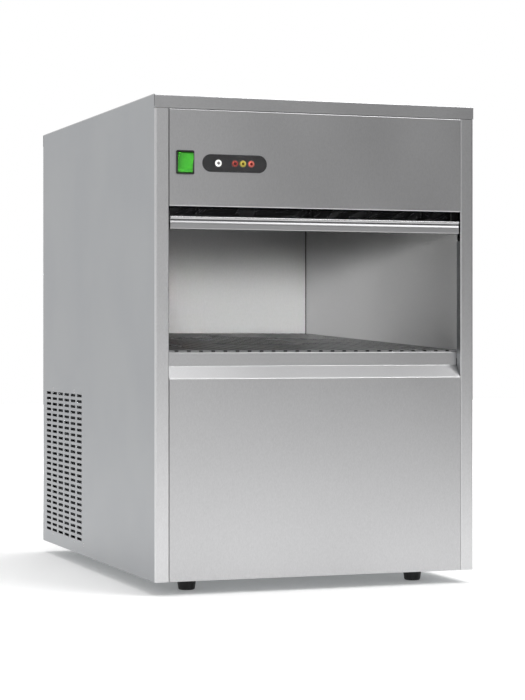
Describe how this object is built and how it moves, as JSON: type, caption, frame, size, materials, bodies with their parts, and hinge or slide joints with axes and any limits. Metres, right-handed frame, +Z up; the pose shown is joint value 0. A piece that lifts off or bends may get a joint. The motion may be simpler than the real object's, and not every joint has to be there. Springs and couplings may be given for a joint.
{
  "type": "ice cube machine",
  "caption": "Counter-top ice cube machine: stainless cabinet with a storage bin, sliding up-and-over door, slotted drain floor and louvred machine room.",
  "frame": {"origin": "on the floor, under the middle of the cabinet", "axes": "+Z up, the front with the bin's mouth faces -Y, +X is the viewer's right from the front"},
  "size_m": [0.45, 0.605, 0.646],
  "materials": {
    "stainless_steel": "satin brushed, vertical grain",
    "galvanised_steel": "galvanised sheet",
    "bright_steel": "ground bright",
    "black_gloss_plastic": "glossy moulded",
    "black_plastic": "fine moulded",
    "white_plastic": "moulded",
    "green_plastic": "translucent moulded",
    "label_film": "satin film",
    "lamp_white": "clear lens",
    "lamp_red": "clear lens",
    "lamp_yellow": "clear lens",
    "lamp_orange": "clear lens",
    "circuit_board": "solder mask",
    "rubber": "moulded",
    "foam": "rigid foam, cut",
    "aluminium": "extruded, satin",
    "tinned_copper": "tinned copper",
    "copper": "drawn tube",
    "black_paint": "enamelled",
    "brass": "turned"
  },
  "bodies": {
    "cabinet": {"back_panel": "stainless_steel", "base_pan": "galvanised_steel", "bin_back_wall": "stainless_steel", "bin_left_wall": "stainless_steel", "bin_right_wall": "stainless_steel", "compressor": "black_paint", "compressor_cover": "black_plastic", "compressor_grommets": "rubber", "condenser_coil": "copper", "condenser_fins": "aluminium", "control_board": "circuit_board", "control_label": "label_film", "curtain_rod": "bright_steel", "door_rails": "black_plastic", "drain_floor": "stainless_steel", "drain_pan": "white_plastic", "drain_spout": "white_plastic", "electrical_box": "galvanised_steel", "evaporator": "tinned_copper", "evaporator_coil": "copper", "fan_bracket": "galvanised_steel", "fan_motor": "black_paint", "fan_shroud": "galvanised_steel", "feet": "rubber", "filter_drier": "copper", "header_panel": "stainless_steel", "ice_chamber": "black_plastic", "ice_slide": "stainless_steel", "inlet_valve": "brass", "insulation_floor": "foam", "insulation_top": "foam", "insulation_walls": "foam", "lamp_orange": "lamp_orange", "lamp_red": "lamp_red", "lamp_white": "lamp_white", "lamp_yellow": "lamp_yellow", "left_side_panel": "stainless_steel", "lower_front_panel": "stainless_steel", "machine_room_deck": "galvanised_steel", "power_inlet": "black_plastic", "right_side_panel": "stainless_steel", "spray_bar": "white_plastic", "switch_housing": "black_plastic", "top_lid": "stainless_steel", "water_pump": "black_plastic"},
    "door_carriage": {"door_sliders": "white_plastic"},
    "door": {"door_skin": "stainless_steel", "door_liner": "white_plastic", "door_grip": "aluminium", "door_pins": "bright_steel"},
    "rocker": {"switch_rocker": "green_plastic"},
    "fan": {"fan_blade": "black_plastic", "fan_shaft": "bright_steel"},
    "flap_1": {"curtain_flap_1": "black_gloss_plastic"},
    "flap_2": {"curtain_flap_2": "black_gloss_plastic"},
    "flap_3": {"curtain_flap_3": "black_gloss_plastic"},
    "flap_4": {"curtain_flap_4": "black_gloss_plastic"},
    "flap_5": {"curtain_flap_5": "black_gloss_plastic"},
    "flap_6": {"curtain_flap_6": "black_gloss_plastic"}
  },
  "joints": [
    {"name": "door_slide", "type": "slide", "parent": "cabinet", "child": "door_carriage", "axis": [0, -0.9984, -0.0558], "range_m": [0, 0.15848]},
    {"name": "door_tilt", "type": "hinge", "parent": "door_carriage", "child": "door", "pos_m": [0, -0.13457, 0.49122], "axis": [1, 0, 0], "range_deg": [0, 86.8]},
    {"name": "flap_1_swing", "type": "hinge", "parent": "cabinet", "child": "flap_1", "pos_m": [0, -0.273, 0.551], "axis": [-1, 0, 0], "range_deg": [0, 10]},
    {"name": "flap_2_swing", "type": "hinge", "parent": "cabinet", "child": "flap_2", "pos_m": [0, -0.273, 0.551], "axis": [-1, 0, 0], "range_deg": [0, 10]},
    {"name": "flap_3_swing", "type": "hinge", "parent": "cabinet", "child": "flap_3", "pos_m": [0, -0.273, 0.551], "axis": [-1, 0, 0], "range_deg": [0, 10]},
    {"name": "flap_4_swing", "type": "hinge", "parent": "cabinet", "child": "flap_4", "pos_m": [0, -0.273, 0.551], "axis": [-1, 0, 0], "range_deg": [0, 10]},
    {"name": "flap_5_swing", "type": "hinge", "parent": "cabinet", "child": "flap_5", "pos_m": [0, -0.273, 0.551], "axis": [-1, 0, 0], "range_deg": [0, 10]},
    {"name": "flap_6_swing", "type": "hinge", "parent": "cabinet", "child": "flap_6", "pos_m": [0, -0.273, 0.551], "axis": [-1, 0, 0], "range_deg": [0, 10]},
    {"name": "rocker_tilt", "type": "hinge", "parent": "cabinet", "child": "rocker", "pos_m": [-0.1845, -0.297, 0.5585], "axis": [-1, 0, 0], "range_deg": [0, 17]},
    {"name": "fan_spin", "type": "hinge", "parent": "cabinet", "child": "fan", "pos_m": [-0.14, 0.171, 0.1435], "axis": [1, 0, 0], "continuous": true}
  ]
}
